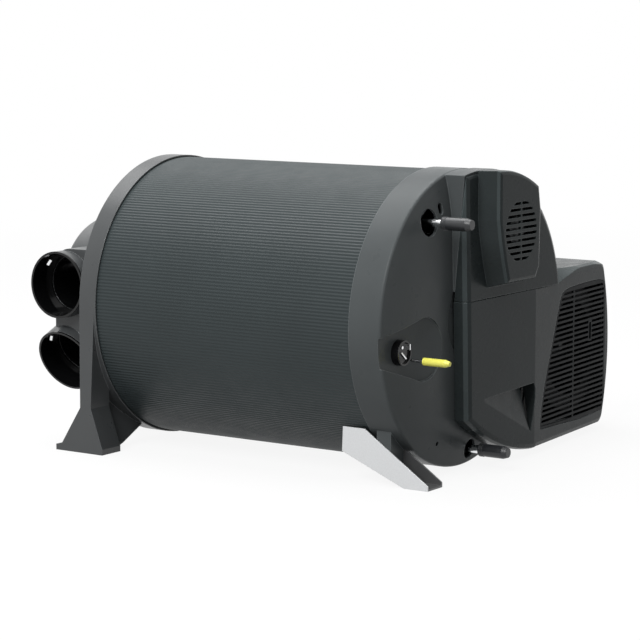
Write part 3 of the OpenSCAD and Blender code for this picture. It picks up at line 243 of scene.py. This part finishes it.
PLASTICS = {
    "jacket_sheet": dict(color=(0.0342, 0.0435, 0.0455), rough=0.42, grain=0.00002, grain_scale=900.0,
                         mottle=0.05, spec=0.20),
    "cap_plastic": dict(color=(0.060, 0.064, 0.066), rough=0.32, grain=0.000012, grain_scale=1500.0,
                        mottle=0.04, spec=0.45, edge=0.0010),
    # Its ring factors paint a reflection, lighter on the ring than on the face
    "end_plastic": dict(color=(0.0715, 0.079, 0.081), rough=0.32, grain=0.000015, grain_scale=1500.0,
                        mottle=0.05, spec=0.10, edge=0.0014, ring_sheen=((0.2005, 0.2055), (1.14, 1.08))),
    # Its fillet gain paints a highlight on the roundings
    "cover_plastic": dict(color=(0.0300, 0.0365, 0.0375), rough=0.28, grain=0.00002, grain_scale=1500.0,
                          spec=0.09, edge=0.0016, fillet_highlight_gain=2.4),
    "grille_plastic": dict(color=(0.0150, 0.0170, 0.0185), rough=0.34, grain=0.00004, grain_scale=1500.0,
                           spec=0.03, edge=0.0004),
    "outlet_black": dict(color=(0.0045, 0.0047, 0.005), rough=0.14, grain=0.00001, grain_scale=900.0,
                         mottle=0.10, spec=0.35),
    "seal_rubber": dict(color=(0.012, 0.012, 0.012), rough=0.7, grain=0.00005, grain_scale=1800.0,
                        mottle=0.1, spec=0.3),
    "insulation_foam": dict(color=(0.62, 0.60, 0.52), rough=0.9, grain=0.0003, grain_scale=500.0,
                            mottle=0.08),
    "fan_black": dict(color=(0.007, 0.0073, 0.0076), rough=0.5, grain=0.00004, grain_scale=1500.0,
                      mottle=0.1, spec=0.1),
    "board_green": dict(color=(0.010, 0.075, 0.030), rough=0.35, grain=0.00006, grain_scale=420.0,
                        mottle=0.2),
    "connector_white": dict(color=(0.62, 0.60, 0.52), rough=0.4, grain=0.00002, grain_scale=1200.0,
                            mottle=0.04),
    "cap_dark": dict(color=(0.021, 0.0225, 0.025), rough=0.32, grain=0.00003, grain_scale=1600.0,
                     mottle=0.08, edge=0.0008),
    "cap_yellow": dict(color=(0.90, 0.86, 0.14), rough=0.30, grain=0.00002, grain_scale=1400.0,
                       mottle=0.05, edge=0.0008),
    "inlet_black": dict(color=(0.006, 0.006, 0.0065), rough=0.2, grain=0.00001, grain_scale=900.0,
                        mottle=0.1, spec=0.35, edge=0.0004),
}
METALS = {
    "stainless": dict(color=(0.60, 0.61, 0.62), rough=0.30, streak_scale=300.0, streak=(0.05, 1, 1)),
    "cast_aluminium": dict(color=(0.52, 0.53, 0.54), rough=0.45, streak_scale=600.0, height=0.00008),
    "fastener_steel": dict(color=(0.55, 0.56, 0.57), rough=0.32, streak_scale=500.0),
    "motor_grey": dict(color=(0.07, 0.073, 0.076), rough=0.5, streak_scale=260.0, streak=(0.1, 1, 1),
                       metallic=0.6),
    "sensor_brass": dict(color=(0.62, 0.44, 0.16), rough=0.3, streak_scale=400.0, streak=(0.1, 1, 1)),
    "bright_pipe": dict(color=(0.82, 0.83, 0.84), rough=0.12, streak_scale=900.0, streak=(0.04, 1, 1),
                        height=0.000004, tone=0.04),
    # Its inside factor paints shade between the flanges
    "bracket_zinc": dict(color=(0.70, 0.71, 0.72), rough=0.42, streak_scale=700.0, streak=(1, 0.15, 1),
                         height=0.000006, tone=0.03, metallic=0.6, edge=0.0005, inside_shade=0.2),
}
MATERIALS = {name: moulded(name, **look) for name, look in PLASTICS.items()}
MATERIALS.update((name, metal(name, **look)) for name, look in METALS.items())

for row in frame["record"]["subparts"]:
    obj = NODES[row["node"]]
    obj.data.materials.clear()
    obj.data.materials.append(MATERIALS[row["material_slot"]])

# A narrow part of the burner head shows beside the lower cover, so it is coated like the end cap
NODES["burner_head"].data.materials[0] = MATERIALS["end_plastic"]


# Shading of the carried-over solids: rounded edges are cut in steps, so they are smoothed across

STEPPED = ("electronics_lid", "lower_cover", "intake_grille", "fan_box_rear", "service_end_cap")
STEPPED_ANGLE, PLAIN_ANGLE, TRIM_ANGLE = 50, 30, 35
NORMAL_WEIGHT = 90


def smooth(obj, angle):
    """Smooth shading over edges that turn by less than the angle."""
    obj.data.shade_smooth()
    obj.data.set_sharp_from_angle(angle=math.radians(angle))
    weigh = obj.modifiers.new("normals", "WEIGHTED_NORMAL")
    weigh.keep_sharp = True
    weigh.weight = NORMAL_WEIGHT


for name, obj in NODES.items():
    smooth(obj, STEPPED_ANGLE if name in STEPPED else PLAIN_ANGLE)


# Small trim in millimetres: black sleeves and spring clips in the outlets, ribbed collars on the pipe caps

def finished(name, mesh, slot):
    """A new piece from a mesh, with the material of its slot."""
    bmesh.ops.recalc_face_normals(mesh, faces=mesh.faces)
    data = bpy.data.meshes.new(name)
    mesh.to_mesh(data)
    mesh.free()
    obj = bpy.data.objects.new(name, data)
    scene.collection.objects.link(obj)
    data.materials.append(MATERIALS[slot])
    smooth(obj, TRIM_ANGLE)
    return obj


def turned(name, profile, centre, axis, start, slot, span=(0.0, 360.0), steps=72):
    """A piece turned about an axis, over a span of degrees from the start direction.

    The profile is a closed outline of radius and height.
    """
    axis, start = Vector(axis).normalized(), Vector(start).normalized()
    side = axis.cross(start)
    whole = span[1] - span[0] >= 360
    count = steps if whole else steps + 1
    mesh = bmesh.new()
    rings = []
    for k in range(count):
        a = math.radians(span[0] + (span[1] - span[0]) * k / steps)
        out = start * math.cos(a) + side * math.sin(a)
        rings.append([mesh.verts.new((Vector(centre) + out * r + axis * h) * MM) for r, h in profile])
    n = len(profile)
    for k in range(steps):
        here, there = rings[k], rings[(k + 1) % count]
        for i in range(n):
            mesh.faces.new((here[i], there[i], there[(i + 1) % n], here[(i + 1) % n]))
    if not whole:
        mesh.faces.new(rings[0])
        mesh.faces.new(rings[-1][::-1])
    return finished(name, mesh, slot)


X_AXIS, Z_AXIS = (1, 0, 0), (0, 0, 1)

# Heights in an outlet are measured outwards from its mouth
DUCT_R, STOP_R, SOCKET_DEPTH = 32.7, 29.0, 28.0
SLEEVE_OUTER_R, SLEEVE_INNER_R = STOP_R - 0.1, STOP_R - 0.7
SLEEVE_TOP, SLEEVE_END = -SOCKET_DEPTH - 0.2, -SOCKET_DEPTH - 42
SLEEVE = [(SLEEVE_OUTER_R, SLEEVE_END), (SLEEVE_OUTER_R, SLEEVE_TOP),
          (SLEEVE_INNER_R, SLEEVE_TOP), (SLEEVE_INNER_R, SLEEVE_END)]
CLIP_SEAT_R, CLIP_BACK_R, CLIP_STEPS = DUCT_R - 0.05, DUCT_R - 0.6, 10
CLIP = [(CLIP_SEAT_R, -16.0), (DUCT_R - 2.1, -17.2), (DUCT_R - 2.3, -17.5), (DUCT_R - 2.2, -17.8),
        (CLIP_BACK_R, -17.2), (CLIP_BACK_R, -19.5), (CLIP_SEAT_R, -19.5)]
# Place, centre of the front mouth, tilt downwards, and the clip's span in degrees
OUTLETS = (("upper", (-212.5, -204.0, 169.0), 0.0, (133, 146)),
           ("lower", (-215.0, -188.0, 87.0), math.radians(24), (145, 157)))
for place, mouth, tilt, clip_span in OUTLETS:
    for side, sign in (("front", -1.0), ("rear", 1.0)):
        centre = (mouth[0], DRUM_Y + sign * (DRUM_Y - mouth[1]), mouth[2])
        axis = (0, sign * math.cos(tilt), -math.sin(tilt))
        sleeve = turned(f"sleeve_{side}_{place}", SLEEVE, centre, axis, X_AXIS, "outlet_black")
        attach(sleeve, ROOT)
        span = clip_span if sign < 0 else (-clip_span[1], -clip_span[0])
        clip = turned(f"clip_{side}_{place}", CLIP, centre, axis, X_AXIS, "bright_pipe", span, CLIP_STEPS)
        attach(clip, ROOT)

CAP_R, COLLAR_STEPS = 6.4, 48
COLLAR_SEAT_R, COLLAR_RIB_R, COLLAR_GROOVE_R = CAP_R - 0.3, CAP_R + 0.35, CAP_R - 0.02
COLLAR = [(COLLAR_SEAT_R, 0.4),
          (COLLAR_RIB_R, 0.6), (COLLAR_RIB_R, 1.3), (COLLAR_GROOVE_R, 1.5), (COLLAR_GROOVE_R, 2.1),
          (COLLAR_RIB_R, 2.3), (COLLAR_RIB_R, 3.0), (COLLAR_GROOVE_R, 3.2), (COLLAR_GROOVE_R, 3.8),
          (COLLAR_RIB_R, 4.0), (COLLAR_RIB_R, 4.7), (COLLAR_SEAT_R, 4.9)]
for name, body, start in (("hot_cap_collar", "hot_cap", (223.0, -145.5, 252.2)),
                          ("cold_cap_collar", "cold_cap", (219.0, -65.5, 19.7))):
    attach(turned(name, COLLAR, start, X_AXIS, Z_AXIS, "cap_dark", steps=COLLAR_STEPS), body)


# Wall behind the lower cover, from the drum's edge to the fan box, in millimetres:
# it closes the space that would show through the slots

WALL_X, WALL_R = (203.7, 204.9), 145.0
WALL_EDGE = [(-12, 16.5), (-4, 14.5), (4, 12.7), (11, 11.6), (19, 10.6), (27, 9.8), (33, 9.4),
             (77, 9.4), (77, 171)]
ARC_FROM, ARC_TO, ARC_STEPS = 7.5, -66.9, 36
for k in range(ARC_STEPS + 1):
    a = math.radians(ARC_FROM + (ARC_TO - ARC_FROM) * k / ARC_STEPS)
    WALL_EDGE.append((DRUM_Y + WALL_R * math.cos(a), DRUM_Z + WALL_R * math.sin(a)))
mesh = bmesh.new()
rear, front = ([mesh.verts.new((x * MM, y * MM, z * MM)) for y, z in WALL_EDGE] for x in WALL_X)
mesh.faces.new(rear)
mesh.faces.new(front[::-1])
for i in range(len(rear)):
    j = (i + 1) % len(rear)
    mesh.faces.new((rear[i], rear[j], front[j], front[i]))
bmesh.ops.triangulate(mesh, faces=mesh.faces)
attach(finished("lower_cover_back", mesh, "cover_plastic"), ROOT)


# Camera, floor and light, in metres

CAMERA_AT, CAMERA_AIM = (1.4057, -2.0754, 0.4673), (0.0331, -0.0770, 0.1369)
CAMERA_LENS, CAMERA_SENSOR, CAMERA_REACH = 133.78, 36, 60
FLOOR_HALF, FLOOR_ROUGH, FLOOR_SPEC = 12.0, 0.8, 0.1
# Levels for the light that falls on things, and for what is seen
FLOOR_LEVELS, WORLD_LEVELS = (0.24, 0.85), (0.28, 1.0)
# The floor's glow leaves room for the shadow near the object and is full far from it
GLOW_REACH, GLOW_SHARE = (0.4, 2.5), (0.9, 1.0)
WHITE = (1, 1, 1, 1)
# Name, place, target, width and power
LIGHTS = (("key", (0.1, -1.95, 1.75), (0.0, -0.08, 0.15), 1.3, 43),
          ("top", (-0.35, 0.1, 2.1), (0.0, 0.0, 0.1), 1.8, 40),
          ("side", (-1.4, 0.3, 1.5), (-0.2, -0.08, 0.2), 1.0, 4))


def aimed(name, data, place, target):
    """A camera or light at a place, turned to a target."""
    obj = bpy.data.objects.new(name, data)
    scene.collection.objects.link(obj)
    obj.location = place
    obj.rotation_euler = (Vector(target) - Vector(place)).to_track_quat("-Z", "Y").to_euler()
    return obj


def seen_range(tree, unseen, seen):
    """One value for light that falls on things, another for camera, glossy and transmission rays."""
    path = tree.nodes.new("ShaderNodeLightPath")
    ray = path.outputs["Is Camera Ray"]
    for other in ("Is Glossy Ray", "Is Transmission Ray"):
        ray = math_node(tree, "MAXIMUM", ray, path.outputs[other])
    return ranged(tree, ray, (0.0, 1.0), (unseen, seen), smooth_step=False)


lens = bpy.data.cameras.new("camera")
lens.sensor_width = CAMERA_SENSOR
lens.sensor_fit = "HORIZONTAL"
lens.lens = CAMERA_LENS
lens.clip_end = CAMERA_REACH
scene.camera = aimed("camera", lens, CAMERA_AT, CAMERA_AIM)

floor_mesh = bpy.data.meshes.new("floor")
corners = [(x * FLOOR_HALF, y * FLOOR_HALF, 0) for x, y in ((-1, -1), (1, -1), (1, 1), (-1, 1))]
floor_mesh.from_pydata(corners, [], [(0, 1, 2, 3)])
floor = bpy.data.objects.new("floor", floor_mesh)
scene.collection.objects.link(floor)
floor_mat, tree, bsdf, vec = start_material("floor")
tree.links.new(seen_range(tree, *FLOOR_LEVELS), bsdf.inputs["Base Color"])
bsdf.inputs["Roughness"].default_value = FLOOR_ROUGH
bsdf.inputs["Specular IOR Level"].default_value = FLOOR_SPEC
glow = tree.nodes.new("ShaderNodeEmission")
glow.inputs["Color"].default_value = WHITE
glow.inputs["Strength"].default_value = 1.0
distance = tree.nodes.new("ShaderNodeVectorMath")
distance.operation = "LENGTH"
tree.links.new(vec, distance.inputs[0])
fade = ranged(tree, distance.outputs["Value"], GLOW_REACH, GLOW_SHARE, smooth_step=False)
mix = tree.nodes.new("ShaderNodeMixShader")
tree.links.new(math_node(tree, "MULTIPLY", seen_range(tree, 0.0, 1.0), fade), mix.inputs["Fac"])
tree.links.new(bsdf.outputs["BSDF"], mix.inputs[1])
tree.links.new(glow.outputs["Emission"], mix.inputs[2])
tree.links.new(mix.outputs["Shader"], tree.nodes["Material Output"].inputs["Surface"])
floor_mesh.materials.append(floor_mat)

world = bpy.data.worlds.new("world")
scene.world = world
world.use_nodes = True
sky = world.node_tree.nodes["Background"]
sky.inputs["Color"].default_value = WHITE
world.node_tree.links.new(seen_range(world.node_tree, *WORLD_LEVELS), sky.inputs["Strength"])

for name, place, target, width, power in LIGHTS:
    light = bpy.data.lights.new(name, "AREA")
    light.shape = "SQUARE"
    light.size = width
    light.energy = power
    aimed(name, light, place, target)

scene.view_settings.view_transform = "Standard"
